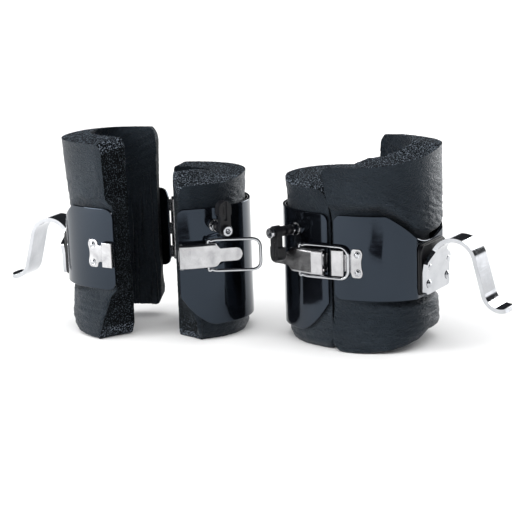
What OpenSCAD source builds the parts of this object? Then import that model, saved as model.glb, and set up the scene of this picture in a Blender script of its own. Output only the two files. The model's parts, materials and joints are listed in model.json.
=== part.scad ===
// A pair of inversion boots: padded ankle cuffs, each with a steel bar hook,
// a rear hinge and an over-centre latch with a swinging safety arm.
// Each boot is drawn closed in its own frame: +X from heel to hook, -Y on the
// latch side, +Y on the hinge side, Z = 0 on the floor. The parting plane of
// the two half cuffs is X = 0. The left boot is the mirror image of the right.

/* [Placement of the pair] */
// Distance of the right boot's parting plane centre from the origin along X
right_x = 106.83; // [95:1:140]
// Depth of the right boot along Y
right_y = -23.3; // [-60:1:20]
// Turn of the right boot about Z, in degrees
right_turn = -32; // [-40:1:0]
// Distance of the left boot's parting plane centre from the origin along X
left_x = -70.67; // [-140:1:-65]
// Depth of the left boot along Y
left_y = 30.7; // [0:1:80]
// Turn of the left boot about Z, in degrees
left_turn = 2; // [-10:1:20]
// How far the left cuff stands open, in degrees
left_open = 28; // [0:1:60]

/* [Cuff] */
// Half the width over the shells
cuff_half_w = 57; // [50:1:65]
// From the shell's slit edge to the flat inner face of its front
front_reach = 68.5; // [65:0.5:72]
// From the parting plane to the front of the foam's full curve
front_curve = 75; // [73:1:80]
// From the parting plane to the back of the heel foam
heel_reach = 69; // [60:1:80]
// Thickness of the plastic shells
shell_t = 3; // [2:0.5:4]
// Half the width of the ankle opening
cavity_half_w = 28; // [22:1:34]
// Gap between the two half cuffs when closed
slit = 2; // [1:0.5:4]
// Height of the closed boot's front foam at the latch
front_foam_h = 174; // [150:1:190]
// Extra height of that foam at the shin and the hinge
front_foam_rise = 14; // [0:1:20]
// Height of the open boot's front foam, which stands freely
open_foam_h = 192; // [170:1:200]
// How far the lower edge of the front foam rises from the latch to the shin
front_foam_arch = 15; // [0:1:30]
// Height of the heel foam
heel_foam_h = 157; // [140:1:175]

/* [Shells] */
// Lower edge of the front shell
strap_bottom = 50; // [40:1:60]
// Upper edge of the front shell beside the slit
strap_top = 130; // [120:1:140]
// Dip of the upper edge behind the hook's arch
strap_dip = 28.5; // [22:0.5:30]
// Lower edge of the heel shell at the heel
heel_shell_bottom = 15; // [8:1:30]

/* [Hook] */
// Radius of the bar seat
hook_bar_r = 19.5; // [15:0.5:21]
// Width of the hook strip
hook_w = 25; // [20:1:30]
// Thickness of the hook strip
hook_t = 4; // [3:0.5:5]
// Height of the top of the arch
hook_top = 107; // [100:1:115]
// Width of the riveted hook plate
hook_plate_w = 50; // [44:1:54]

/* [Latch] */
// Height of the latch centre line
latch_z = 85.5; // [80:0.5:92]
// Height of the lever body
lever_h = 23.5; // [20:0.5:26]
// Length of the lever with its finger tongue
lever_l = 62; // [55:1:68]
// Diameter of the bail wire
wire_d = 3; // [2.5:0.5:4]
// Length of the bail between pivot and end wire
bail_l = 50; // [46:1:54]
// Height of the safety screw above the latch centre line
lock_rise = 27; // [24:1:32]

/* [Hidden] */
$fn = 48;

// Cuff plan: shell outline power for each half, 2 is an ellipse
front_power = 2.3;
heel_power = 2.15;
cavity_front_power = 2.2;
cavity_heel_power = 1.5;
foam_half_w = cuff_half_w - shell_t;
cavity_front_reach = 47;
cavity_heel_reach = 36;
// Flare of the front foam above and below the shell
flare_top = 9;
flare_bottom = 5;
foam_gap = 0.15;
shell_start = slit / 2 + 2;
strips = 40;
// Upper edge of the front shell: level, then sloping from dip_start, then round inside dip_round
dip_start = 47;
dip_round = 28;
dip_slope_h = 21.5;

// Hinge, on the far side
hinge_pin_r = 2.5;
hinge_barrel_r = 4.5;
hinge_y = cuff_half_w + hinge_barrel_r + 0.6;
hinge_z = 88;
hinge_h = 60;
hinge_leaf_l = 26;
hinge_leaf_t = 2;
leaf_y = cuff_half_w + 0.2;
leaf_tilt = 6;
hinge_rivet_l = 16;
hinge_rivet_z = [-20, 0, 20];
knuckles = 5;
knuckle_h = hinge_h / knuckles;
knuckle_gap = 0.4;

// Hook and catch
plate_x = shell_start + front_reach + shell_t + 0.05;
backing_t = 3.5;
backing_half_w = 27;
hook_x = plate_x + backing_t;
hook_lift = 1.7;
arch_x = hook_x + hook_t + hook_lift + hook_bar_r;
arch_z = hook_top - hook_t - hook_bar_r;
hook_rivet_z = [64, 80.5];
hook_rivet_y = 19.5;
leg_lean = 15;
leg_l = 34;
tip_r = 16;
tip_turn = 92;
catch_w = 26;
catch_x0 = 4;
catch_lip_l = 13.8;
catch_lip_h = 5.4;
catch_rivet_l = 23.5;
catch_tilt = 5.5;

// Latch
lever_pin_x = -6;
lever_pin_y = -cuff_half_w - 5.4;
bail_pivot_x = -31;
lever_wall = 1.6;
wire_r = wire_d / 2;
bail_half_h = 15;
bail_y = -cuff_half_w - 3.6;
bail_end_x = bail_pivot_x + bail_l + 2.6;
bail_tilt = 1.9;

// Safety lock: its screw stands square to the heel shell
lock_turn = 22;
lock_angle = 62;
lock_spot = plan_point(heel_reach + shell_t, cuff_half_w, heel_power, lock_angle);
lock_x = -shell_start - lock_spot[0];
lock_y = -lock_spot[1];
lock_z = latch_z + lock_rise;
lock_screw_r = 2;
washer_t = 1.5;
nut_t = 5.5;
sleeve_l = 14;
arm_t = 6.5;
head_l = 5;
nut_at = washer_t;
sleeve_at = nut_at + nut_t;
arm_at = sleeve_at + sleeve_l;
head_at = arm_at + arm_t + 0.2;

foam_colour = [0.07, 0.075, 0.08];
shell_colour = [0.02, 0.022, 0.028];
steel_colour = [0.78, 0.79, 0.8];
chrome_colour = [0.85, 0.86, 0.88];
plastic_colour = [0.03, 0.03, 0.035];

// ---- placing the halves ----
module right_boot() {
    translate([right_x, right_y, 0]) rotate([0, 0, right_turn]) children();
}

module left_boot() {
    translate([left_x, left_y, 0]) rotate([0, 0, left_turn]) mirror([1, 0, 0]) children();
}

module left_boot_front() {
    left_boot() translate([0, hinge_y, 0]) rotate([0, 0, left_open]) translate([0, -hinge_y, 0])
        children();
}

// The right latch arm points down over the tongue, the left one points up.
// The right bail is hooked on the catch, the left one is folded back.
module bail_swing(angle) {
    translate([bail_pivot_x, bail_y, 0]) rotate([0, 0, angle]) translate([-bail_pivot_x, -bail_y, 0])
        children();
}

// ---- plan outlines ----
function plan_point(reach, half_w, power, angle) =
    [reach * pow(cos(angle), 2 / power),
     half_w * sign(sin(angle)) * pow(abs(sin(angle)), 2 / power)];

// Angles run from the latch side to the hinge side, closer together at the slit
function plan_angle(i) = 90 * sin(90 * (2 * i / strips - 1));

function corner_drop(x, r) = x >= r ? 0 : r - sqrt(max(0, r * r - (r - x) * (r - x)));

// Skins a list of equal closed sections into one solid with flat ends
module skin(sections) {
    n = len(sections);
    m = len(sections[0]);
    points = [for (section = sections) for (p = section) p];
    sides = [
        for (i = [0:n - 2]) for (j = [0:m - 1])
            [i * m + j, i * m + (j + 1) % m, (i + 1) * m + (j + 1) % m, (i + 1) * m + j]
    ];
    first = [for (j = [m - 1:-1:0]) j];
    last = [for (j = [0:m - 1]) (n - 1) * m + j];
    polyhedron(points, concat([first], sides, [last]), convexity = 6);
}

// ---- front half ----
// Outward bulge of the front foam at a height, above and below the waist that the shell draws in
function front_bulge(z, side) =
    z > strap_top - 6 ? flare_top * (z - strap_top + 6) / (front_foam_h - strap_top + 6)
    : z < strap_bottom - 6 ? side * flare_bottom * min(1, (strap_bottom - 6 - z) / 30)
    : 0;

// Side is -1 at the latch and 1 at the hinge
function front_top(side, x, height, rise) =
    height + rise * min(1, (side + 1) / 1.2) - corner_drop(x, 9);

function front_bottom(side, x) =
    front_foam_arch * min(1, side + 1) + corner_drop(x, 12);

function front_foam_section(angle, height, rise) =
    let (share = abs(sin(angle)),
         base = plan_point(1, 1, front_power, angle),
         x = base[0] * front_curve,
         top = front_top(sin(angle), x, height, rise),
         low = front_bottom(sin(angle), x),
         inner = plan_point(cavity_front_reach, cavity_half_w, cavity_front_power, angle),
         waist = plan_point(front_reach - 0.6, foam_half_w - foam_gap, 2, angle),
         outer_z = [low, low + 8, strap_bottom - 8, strap_bottom - 0.5, strap_top + 0.5,
                    strap_top + 16, top])
    concat(
        [for (z = outer_z)
            let (grow = front_bulge(z, share), tuck = z == low ? -4 * (1 - share) : 0)
            abs(z - (strap_top + strap_bottom) / 2) < (strap_top - strap_bottom) / 2 + 1
            ? [slit / 2 + waist[0], waist[1], z]
            : [slit / 2 + base[0] * (front_curve + grow * 0.9 + tuck),
               base[1] * (foam_half_w - foam_gap + grow), z]],
        [[slit / 2 + inner[0] * 1.1, inner[1] * 1.1, top + 4],
         [slit / 2 + inner[0], inner[1], strap_top],
         [slit / 2 + inner[0], inner[1], low]]
    );

module front_foam(height, rise) {
    color(foam_colour)
        skin([for (i = [0:strips]) front_foam_section(plan_angle(i), height, rise)]);
}

// Upper edge of the front shell at a distance from the middle
function strap_edge(side) =
    side >= dip_start ? strap_top
    : side >= dip_round
        ? strap_top - dip_slope_h * (dip_start - side) / (dip_start - dip_round)
    : strap_top - dip_slope_h - (strap_dip - dip_slope_h) * (1 - pow(side / dip_round, 2));

function front_shell_section(angle) =
    let (outer = plan_point(front_curve + shell_t, cuff_half_w, front_power, angle),
         top = strap_edge(abs(outer[1])) - corner_drop(outer[0], 8),
         low = strap_bottom + corner_drop(outer[0], 8),
         inner = plan_point(front_curve, foam_half_w, front_power, angle),
         outer_x = shell_start + min(outer[0], front_reach + shell_t),
         inner_x = shell_start + min(inner[0], front_reach))
    [[outer_x, outer[1], low], [outer_x, outer[1], top],
     [inner_x, inner[1], top], [inner_x, inner[1], low]];

module front_shell() {
    color(shell_colour)
        skin([for (i = [0:strips]) front_shell_section(plan_angle(i))]);
}

// Round headed rivet along +X from the origin, its shank towards -X
module rivet(head_r, head_h, shank_l) {
    dome = [for (a = [0:15:90]) [head_r * cos(a), head_h * sin(a)]];
    rotate([0, 90, 0]) rotate_extrude()
        polygon(concat([[0, -shank_l], [head_r / 2, -shank_l], [head_r / 2, 0]], dome));
}

module plate_outline() {
    neck = hook_w / 2 + 1.5;
    polygon([
        [-hook_plate_w / 2 + 3, 54], [hook_plate_w / 2 - 3, 54], [hook_plate_w / 2, 57],
        [hook_plate_w / 2, arch_z + 1], [neck, arch_z + 9], [-neck, arch_z + 9],
        [-hook_plate_w / 2, arch_z + 1], [-hook_plate_w / 2, 57]
    ]);
}

module hook_backing_plate() {
    top = strap_top - strap_dip - 1;
    w = backing_half_w;
    color(plastic_colour)
        translate([plate_x, 0, 0]) rotate([90, 0, 90]) linear_extrude(height = backing_t)
            polygon([[-w + 4, 52.5], [w - 4, 52.5], [w, 56.5], [w, top - 4],
                     [w - 4, top], [-w + 4, top], [-w, top - 4], [-w, 56.5]]);
}

// Side profile of the arch, leg and turned-out tip, in the X-Z plane
module hook_profile() {
    outer_r = hook_bar_r + hook_t;
    tip_outer_r = tip_r + hook_t;
    leg_top = [arch_x + hook_bar_r * cos(leg_lean), arch_z + hook_bar_r * sin(leg_lean)];
    translate([arch_x, arch_z]) difference() {
        circle(r = outer_r, $fn = 96);
        circle(r = hook_bar_r, $fn = 96);
        polygon([[0, 0], [-60, 0], [-60, -60], [60, -60],
                 [60 * cos(leg_lean), 60 * sin(leg_lean)]]);
    }
    polygon([[hook_x, arch_z - 10], [hook_x + hook_t, arch_z - 10],
             [arch_x - hook_bar_r, arch_z], [arch_x - outer_r, arch_z]]);
    translate(leg_top) rotate(leg_lean) translate([0, -leg_l]) square([hook_t, leg_l + 0.01]);
    translate(leg_top) rotate(leg_lean) translate([tip_outer_r, -leg_l]) difference() {
        circle(r = tip_outer_r, $fn = 96);
        circle(r = tip_r, $fn = 96);
        polygon([[0, 0], [-60 * cos(tip_turn), -60 * sin(tip_turn)], [60, -60], [60, 60],
                 [-60, 60], [-60, 0]]);
    }
}

module hook() {
    color(steel_colour) difference() {
        union() {
            translate([hook_x, 0, 0]) rotate([90, 0, 90]) linear_extrude(height = hook_t)
                plate_outline();
            translate([0, hook_w / 2, 0]) rotate([90, 0, 0]) linear_extrude(height = hook_w)
                hook_profile();
        }
        for (z = hook_rivet_z, y = [-hook_rivet_y, hook_rivet_y])
            translate([hook_x - 1, y, z]) rotate([0, 90, 0]) cylinder(r = 2.2, h = hook_t + 2);
    }
}

module hook_rivets() {
    color(chrome_colour)
        for (z = hook_rivet_z, y = [-hook_rivet_y, hook_rivet_y])
            translate([hook_x + hook_t, y, z]) rivet(4, 1.6, hook_t + backing_t + shell_t);
}

// Frame of the catch: its own +X along the shell, outer face of the shell at Y = 0
module catch_frame() {
    translate([catch_x0, -cuff_half_w, latch_z]) rotate([0, 0, catch_tilt]) children();
}

// Catch plate: riveted lobes, a necked groove for the bail and a raised lip
module catch() {
    plate_t = 1.4;
    color(steel_colour) catch_frame() {
        translate([0, -plate_t, -4.5]) cube([catch_rivet_l + 5, plate_t, 9]);
        for (side = [-1, 1])
            translate([catch_rivet_l, 0, side * 8.5]) rotate([90, 0, 0])
                cylinder(r = 5.3, h = plate_t);
        translate([catch_rivet_l - 4, -plate_t, -9]) cube([8, plate_t, 18]);
        translate([0, 0, -catch_w / 2 + 1]) linear_extrude(height = catch_w - 2)
            polygon([[0, 0], [0, 2 - catch_lip_h], [1.6, -catch_lip_h],
                     [catch_lip_l - 1.2, -catch_lip_h], [catch_lip_l, 1.2 - catch_lip_h],
                     [catch_lip_l, 0]]);
    }
}

module catch_rivets() {
    color(chrome_colour) catch_frame()
        for (side = [-1, 1])
            translate([catch_rivet_l, -1.4, side * 8.5]) rotate([0, 0, -90]) rivet(3.4, 1.5, 4);
}

// ---- hinge ----
module hinge_barrel(index) {
    translate([0, hinge_y, hinge_z - hinge_h / 2 + index * knuckle_h + knuckle_gap / 2])
        cylinder(r = hinge_barrel_r, h = knuckle_h - knuckle_gap);
}

// Flat of a leaf, tilted to follow the shell away from the barrels
module leaf_frame(side) {
    translate([side * (hinge_barrel_r + 1), leaf_y, hinge_z]) rotate([0, 0, -side * leaf_tilt])
        children();
}

// Leaf on the +X side for side = 1, on the -X side for side = -1
module hinge_leaf(side, first) {
    color(steel_colour) difference() {
        union() {
            for (index = [first:2:knuckles - 1]) {
                hinge_barrel(index);
                translate([side > 0 ? 0 : -hinge_barrel_r - 2, leaf_y,
                           hinge_z - hinge_h / 2 + index * knuckle_h + knuckle_gap / 2])
                    cube([hinge_barrel_r + 2, hinge_leaf_t, knuckle_h - knuckle_gap]);
            }
            leaf_frame(side) translate([side > 0 ? 0 : -hinge_leaf_l, 0, -hinge_h / 2])
                cube([hinge_leaf_l, hinge_leaf_t, hinge_h]);
        }
        translate([0, hinge_y, hinge_z - hinge_h]) cylinder(r = hinge_pin_r + 0.05, h = 2 * hinge_h);
        leaf_frame(side) for (z = hinge_rivet_z)
            translate([side * hinge_rivet_l, -1, z]) rotate([-90, 0, 0])
                cylinder(r = 1.7, h = hinge_leaf_t + 2);
    }
}

module hinge_front_leaf() { hinge_leaf(1, 0); }

module hinge_rear_leaf() { hinge_leaf(-1, 1); }

module hinge_rivets(side) {
    color(chrome_colour) leaf_frame(side)
        for (z = hinge_rivet_z)
            translate([side * hinge_rivet_l, hinge_leaf_t, z])
                rotate([0, 0, 90]) rivet(3.4, 1.5, hinge_leaf_t + shell_t);
}

module hinge_front_rivets() { hinge_rivets(1); }

module hinge_rear_rivets() { hinge_rivets(-1); }

module hinge_pin() {
    color(chrome_colour) translate([0, hinge_y, hinge_z - hinge_h / 2 - 1.5]) {
        cylinder(r = hinge_pin_r, h = hinge_h + 3);
        translate([0, 0, -1]) cylinder(r = hinge_pin_r + 1, h = 1.5);
        translate([0, 0, hinge_h + 2.5]) cylinder(r = hinge_pin_r + 1, h = 1.5);
    }
}

// ---- heel half ----
function heel_foam_section(angle) =
    let (base = plan_point(1, 1, heel_power, angle),
         x = base[0] * heel_reach,
         top = heel_foam_h - corner_drop(x, 10),
         low = corner_drop(x, 7),
         inner = plan_point(cavity_heel_reach, cavity_half_w, cavity_heel_power, angle),
         outer_z = [low, low + 6, heel_shell_bottom + 8, heel_foam_h - 30, top])
    concat(
        [for (z = outer_z)
            let (grow = z == low ? -3 : z == top ? 1.5 : 0)
            [-slit / 2 - base[0] * (heel_reach + grow), base[1] * (foam_half_w - foam_gap + grow), z]],
        [[-slit / 2 - inner[0], inner[1], top], [-slit / 2 - inner[0], inner[1], low]]
    );

module heel_foam() {
    color(foam_colour)
        skin([for (i = [strips:-1:0]) heel_foam_section(plan_angle(i))]);
}

// Lower edge of the heel shell: high at the slit, sweeping down to the heel
function heel_shell_low(x) = heel_shell_bottom + 30 * pow(max(0, 1 - x / 34), 1.8);

function heel_shell_section(angle) =
    let (x0 = plan_point(heel_reach, 1, heel_power, angle)[0],
         top = strap_top - corner_drop(x0, 6),
         low = heel_shell_low(x0),
         outer = plan_point(heel_reach + shell_t, cuff_half_w, heel_power, angle),
         inner = plan_point(heel_reach, foam_half_w, heel_power, angle))
    [[-shell_start - outer[0], outer[1], low], [-shell_start - outer[0], outer[1], top],
     [-shell_start - inner[0], inner[1], top], [-shell_start - inner[0], inner[1], low]];

module heel_shell() {
    color(shell_colour)
        skin([for (i = [strips:-1:0]) heel_shell_section(plan_angle(i))]);
}

// Steel bracket with two ears that carry the lever pin
module latch_base() {
    color(steel_colour) difference() {
        union() {
            translate([-20, -cuff_half_w - 1, latch_z - 8]) cube([17, 1.6, 16]);
            for (side = [-1, 1])
                translate([0, 0, latch_z + side * 7 - 1]) linear_extrude(height = 2) {
                    polygon([[-12, -cuff_half_w], [-3.2, -cuff_half_w], [-3.2, lever_pin_y],
                             [-8.6, lever_pin_y - 0.6]]);
                    translate([lever_pin_x, lever_pin_y]) circle(r = 3);
                }
        }
        translate([lever_pin_x, lever_pin_y, latch_z - 20]) cylinder(r = 1.8, h = 40);
    }
}

module latch_rivets() {
    color(chrome_colour)
        for (side = [-1, 1])
            translate([-16, -cuff_half_w - 1, latch_z + side * 3.6]) rotate([0, 0, -90])
                rivet(2.4, 1, 4);
}

module latch_pin() {
    color(chrome_colour) translate([lever_pin_x, lever_pin_y, latch_z - lever_h / 2 - 0.6])
        cylinder(r = 1.75, h = lever_h + 1.2);
}

// Plan of the lever's outer face, from the slit edge back to the end of the tongue
lever_bend = [[-2.8, -cuff_half_w - 7.4], [-4.2, -cuff_half_w - 10.2],
              [-15, -cuff_half_w - 10.6], [bail_pivot_x - 9, -cuff_half_w - 5.5]];
tongue_end = [-lever_l - 2, -cuff_half_w - 0.8];

module lever_body_outline() {
    polygon(concat([[lever_bend[0][0], -cuff_half_w - 3.2]], lever_bend,
                   [[lever_bend[3][0], -cuff_half_w + 2], [bail_pivot_x + 4, -cuff_half_w + 0.2],
                    [-16, -cuff_half_w - 2.2]]));
}

module latch_lever() {
    tongue_h = 12.5;
    color(steel_colour) difference() {
        union() {
            difference() {
                translate([0, 0, latch_z - lever_h / 2]) linear_extrude(height = lever_h)
                    lever_body_outline();
                translate([0, 0.02, latch_z - lever_h / 2 + lever_wall])
                    linear_extrude(height = lever_h - 2 * lever_wall)
                        lever_hollow();
            }
            intersection() {
                translate([0, 0, latch_z - tongue_h]) linear_extrude(height = 2 * tongue_h)
                    tongue_outline();
                tongue_ends(tongue_h);
            }
        }
        translate([lever_pin_x, lever_pin_y, latch_z - 20]) cylinder(r = 1.8, h = 40);
        translate([bail_pivot_x, bail_y, latch_z - 20]) cylinder(r = wire_r + 0.08, h = 40);
    }
}

module lever_hollow() {
    polygon([
        [2, -cuff_half_w + 6], [2, -cuff_half_w - 6.5],
        [lever_bend[1][0] + 0.4, lever_bend[1][1] + lever_wall],
        lever_bend[2] + [0, lever_wall], lever_bend[3] + [-6, lever_wall - 1.2],
        [lever_bend[3][0] - 6, -cuff_half_w + 6]
    ]);
}

module tongue_outline() {
    root = lever_bend[3];
    polygon([root + [3, -0.2], root + [3, lever_wall], root + [0, lever_wall],
             tongue_end + [0, lever_wall], tongue_end, root]);
}

// Stadium that gives the tongue its rounded end
module tongue_ends(tongue_h) {
    translate([0, -cuff_half_w + 5, latch_z]) rotate([90, 0, 0]) linear_extrude(height = 20) {
        translate([tongue_end[0] + tongue_h / 2, 0]) circle(r = tongue_h / 2);
        translate([tongue_end[0] + tongue_h / 2, -tongue_h / 2]) square([40, tongue_h]);
    }
}

// Wire bail with turned-in ends, drawn hooked forward on the catch
module bail() {
    bend_r = 5;
    side_l = bail_end_x - bend_r - bail_pivot_x;
    color(chrome_colour) bail_swing(bail_tilt) translate([0, bail_y, latch_z]) {
        for (side = [-1, 1]) {
            translate([bail_pivot_x, 0, side > 0 ? lever_h / 2 - lever_wall - 0.6 : -bail_half_h])
                cylinder(r = wire_r, h = bail_half_h - lever_h / 2 + lever_wall + 0.6);
            translate([bail_pivot_x, 0, side * bail_half_h]) sphere(r = wire_r);
            translate([bail_pivot_x, 0, side * bail_half_h]) rotate([0, 90, 0])
                cylinder(r = wire_r, h = side_l);
            translate([bail_end_x - bend_r, 0, side * (bail_half_h - bend_r)])
                rotate([90, 0, 0]) rotate([0, 0, side > 0 ? 0 : -90])
                    rotate_extrude(angle = 90) translate([bend_r, 0]) circle(r = wire_r, $fn = 24);
        }
        translate([bail_end_x, 0, -bail_half_h + bend_r])
            cylinder(r = wire_r, h = 2 * (bail_half_h - bend_r));
    }
}

// ---- safety lock, drawn along +X of a frame square to the shell ----
module lock_frame() {
    translate([lock_x, lock_y, lock_z]) rotate([0, 0, -90 - lock_turn]) children();
}

module lock_disc(r, at, h) {
    translate([at, 0, 0]) rotate([0, 90, 0]) cylinder(r = r, h = h);
}

module lock_screw() {
    color(chrome_colour) lock_frame() difference() {
        union() {
            lock_disc(lock_screw_r, -shell_t, shell_t + head_at + 1);
            lock_disc(4.2, head_at, head_l);
        }
        translate([head_at + head_l - 2.6, 0, 0]) rotate([0, 90, 0])
            cylinder(r = 2, h = 4, $fn = 6);
    }
}

module lock_washer() {
    color(steel_colour) lock_frame() difference() {
        lock_disc(6, 0, washer_t);
        lock_disc(lock_screw_r, -1, washer_t + 2);
    }
}

module lock_nut() {
    color(chrome_colour) lock_frame() difference() {
        translate([nut_at, 0, 0]) rotate([0, 90, 0]) cylinder(r = 5.8, h = nut_t, $fn = 6);
        lock_disc(lock_screw_r, 0, 20);
    }
}

module lock_sleeve() {
    color(plastic_colour) lock_frame() difference() {
        lock_disc(4.8, sleeve_at, sleeve_l);
        lock_disc(lock_screw_r, 0, 40);
    }
}

// Arm hanging down: hub round the screw, flat arm and a thicker foot that bars the tongue
module lock_arm() {
    color(plastic_colour) lock_frame() difference() {
        union() {
            lock_disc(6.2, arm_at + 0.1, arm_t);
            translate([arm_at + 0.1, -5.2, -21]) cube([arm_t, 10.4, 21]);
            translate([arm_at - 3, -6.2, -21]) cube([arm_t + 3.1, 12.4, 6.5]);
            translate([arm_at - 3, 0, -21]) rotate([0, 90, 0]) cylinder(r = 6.2, h = arm_t + 3.1);
        }
        lock_disc(lock_screw_r + 0.08, 0, 60);
        translate([arm_at + arm_t - 1.4, -1.2, -24]) cube([4, 2.4, 14]);
    }
}

module lock_arm_up() {
    lock_frame() rotate([180, 0, 0]) rotate([0, 0, 90 + lock_turn])
        translate([-lock_x, -lock_y, -lock_z]) lock_arm();
}

right_boot() front_foam(front_foam_h, front_foam_rise);  // right_front_foam
right_boot() front_shell();  // right_front_shell
right_boot() hook();  // right_hook
right_boot() hook_backing_plate();  // right_hook_backing_plate
right_boot() hook_rivets();  // right_hook_rivets
right_boot() catch();  // right_catch
right_boot() catch_rivets();  // right_catch_rivets
right_boot() hinge_front_leaf();  // right_hinge_front_leaf
right_boot() hinge_front_rivets();  // right_hinge_front_rivets
right_boot() hinge_pin();  // right_hinge_pin
right_boot() heel_foam();  // right_heel_foam
right_boot() heel_shell();  // right_heel_shell
right_boot() hinge_rear_leaf();  // right_hinge_rear_leaf
right_boot() hinge_rear_rivets();  // right_hinge_rear_rivets
right_boot() latch_base();  // right_latch_base
right_boot() latch_rivets();  // right_latch_rivets
right_boot() latch_pin();  // right_latch_pin
right_boot() latch_lever();  // right_latch_lever
right_boot() bail();  // right_bail
right_boot() lock_screw();  // right_lock_screw
right_boot() lock_washer();  // right_lock_washer
right_boot() lock_nut();  // right_lock_nut
right_boot() lock_sleeve();  // right_lock_sleeve
right_boot() lock_arm();  // right_lock_arm
left_boot_front() front_foam(open_foam_h, 0);  // left_front_foam
left_boot_front() front_shell();  // left_front_shell
left_boot_front() hook();  // left_hook
left_boot_front() hook_backing_plate();  // left_hook_backing_plate
left_boot_front() hook_rivets();  // left_hook_rivets
left_boot_front() catch();  // left_catch
left_boot_front() catch_rivets();  // left_catch_rivets
left_boot_front() hinge_front_leaf();  // left_hinge_front_leaf
left_boot_front() hinge_front_rivets();  // left_hinge_front_rivets
left_boot_front() hinge_pin();  // left_hinge_pin
left_boot() heel_foam();  // left_heel_foam
left_boot() heel_shell();  // left_heel_shell
left_boot() hinge_rear_leaf();  // left_hinge_rear_leaf
left_boot() hinge_rear_rivets();  // left_hinge_rear_rivets
left_boot() latch_base();  // left_latch_base
left_boot() latch_rivets();  // left_latch_rivets
left_boot() latch_pin();  // left_latch_pin
left_boot() latch_lever();  // left_latch_lever
left_boot() bail_swing(180) bail();  // left_bail
left_boot() lock_screw();  // left_lock_screw
left_boot() lock_washer();  // left_lock_washer
left_boot() lock_nut();  // left_lock_nut
left_boot() lock_sleeve();  // left_lock_sleeve
left_boot() lock_arm_up();  // left_lock_arm
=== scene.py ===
"""Looks of a pair of inversion boots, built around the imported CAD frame.

Each half cuff is modelled closed, in millimetres, in its own boot frame: +X from heel to hook, -Y on the
latch side, +Y on the hinge side, Z = 0 on the floor and the parting plane at X = 0. Two points that the
record also gives (the cuff hinge, and the lever pin or the bar seat) place each half in the world.
The left boot is the mirror image of the right one.
"""
import json
from math import atan2, copysign, cos, hypot, pi, radians, sin, sqrt

import bmesh
import bpy
from mathutils import Matrix, Vector, noise


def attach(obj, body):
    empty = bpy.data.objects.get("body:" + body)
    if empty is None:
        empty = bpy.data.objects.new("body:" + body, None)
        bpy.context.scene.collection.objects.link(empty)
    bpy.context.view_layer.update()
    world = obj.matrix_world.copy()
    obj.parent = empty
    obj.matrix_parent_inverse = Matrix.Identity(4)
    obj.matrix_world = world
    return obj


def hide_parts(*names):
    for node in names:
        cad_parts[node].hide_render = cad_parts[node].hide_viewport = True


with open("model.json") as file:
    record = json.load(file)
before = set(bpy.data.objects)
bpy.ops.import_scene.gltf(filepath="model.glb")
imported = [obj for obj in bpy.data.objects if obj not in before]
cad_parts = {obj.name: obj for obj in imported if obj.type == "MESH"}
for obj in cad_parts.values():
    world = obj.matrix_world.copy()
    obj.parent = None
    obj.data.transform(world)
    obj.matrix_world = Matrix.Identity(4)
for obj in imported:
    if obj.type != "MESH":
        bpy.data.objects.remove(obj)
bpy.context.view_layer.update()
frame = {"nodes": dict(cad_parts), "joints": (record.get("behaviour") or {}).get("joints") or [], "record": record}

# ---- sizes, in millimetres, as in the CAD source ----
MM = 0.001
HALF_W = 57
SHELL_T = 3
FOAM_HALF_W = HALF_W - SHELL_T - 0.15
HALF_SLIT = 1
SHELL_START = HALF_SLIT + 2
FRONT_POWER = 2.3
HEEL_POWER = 2.15
FRONT_CURVE = 75
FRONT_REACH = 68.5
HEEL_REACH = 69
STRAP_BOTTOM = 50
STRAP_TOP = 130
STRAP_LEVEL_Y = 47
STRAP_DIP_Y = 28
STRAP_SLOPE_DROP = 21.5
STRAP_DIP_DROP = 7
HEEL_SHELL_BOTTOM = 15
FRONT_FOAM_ARCH = 15
HEEL_FOAM_TOP = 157
FRONT_CAVITY = (47, 28, 2.2)
HEEL_CAVITY = (36, 28, 1.5)
CORNER_REACH = 26
PORE = 1.7
PORE_DEPTH = 0.35
HINGE = (0, 62.1)
HINGE_Z = 88
LEVER_PIN = (-6, -62.4)
BAIL_PIVOT = (-31, -60.6)
LATCH_Z = 85.5
LEVER_HALF_H = 11.75
LEVER_TAIL_X = -40
LEVER_TIP_X = -64
WIRE_R = 1.5
HOOK_X = 78.05
HOOK_T = 4
HOOK_W = 25
HOOK_PLATE_W = 50
ARCH_R = 19.5
ARCH_X = 103.25
ARCH_Z = 83.5
LEG_LEAN = 15
LEG_L = 34
TIP_R = 18
TIP_TURN = 92
HOOK_RIVETS = [(19.5, 64), (-19.5, 64), (19.5, 80.5), (-19.5, 80.5)]
LOCK_Z = 112.5
LOCK_ANGLE = 62
LOCK_TURN = 22


# ---- small helpers ----
def smooth(t):
    t = min(1, max(0, t))
    return t * t * (3 - 2 * t)


def mix(a, b, t):
    return a + (b - a) * t


def along(table, x):
    """Value at x in a short table of (x, value) corners, straight between them."""
    for (x0, v0), (x1, v1) in zip(table, table[1:]):
        if x <= x1:
            return mix(v0, v1, max(0, (x - x0) / (x1 - x0)))
    return table[-1][1]


def plan(reach, half_w, power, angle):
    """Point of a cuff's outline seen from above, -90 degrees on the latch side to +90 on the hinge side."""
    c = max(0, cos(angle))
    s = sin(angle)
    return reach * c ** (2 / power), half_w * copysign(abs(s) ** (2 / power), s)


def even_angles(reach, half_w, power, n):
    """Angles that cut the outline into n pieces of equal length."""
    steps = 1500
    angles = [pi * (i / steps - 0.5) for i in range(steps + 1)]
    spots = [plan(reach, half_w, power, a) for a in angles]
    lengths = [0]
    for p, q in zip(spots, spots[1:]):
        lengths.append(lengths[-1] + hypot(q[0] - p[0], q[1] - p[1]))
    wanted = [lengths[-1] * i / n for i in range(n + 1)]
    table = list(zip(lengths, angles))
    return [along(table, w) for w in wanted]


def corner_drop(x, r):
    """How far a corner of radius r has fallen at a distance x from its side."""
    return 0 if x >= r else r - sqrt(max(0, r * r - (r - x) ** 2))


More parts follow.
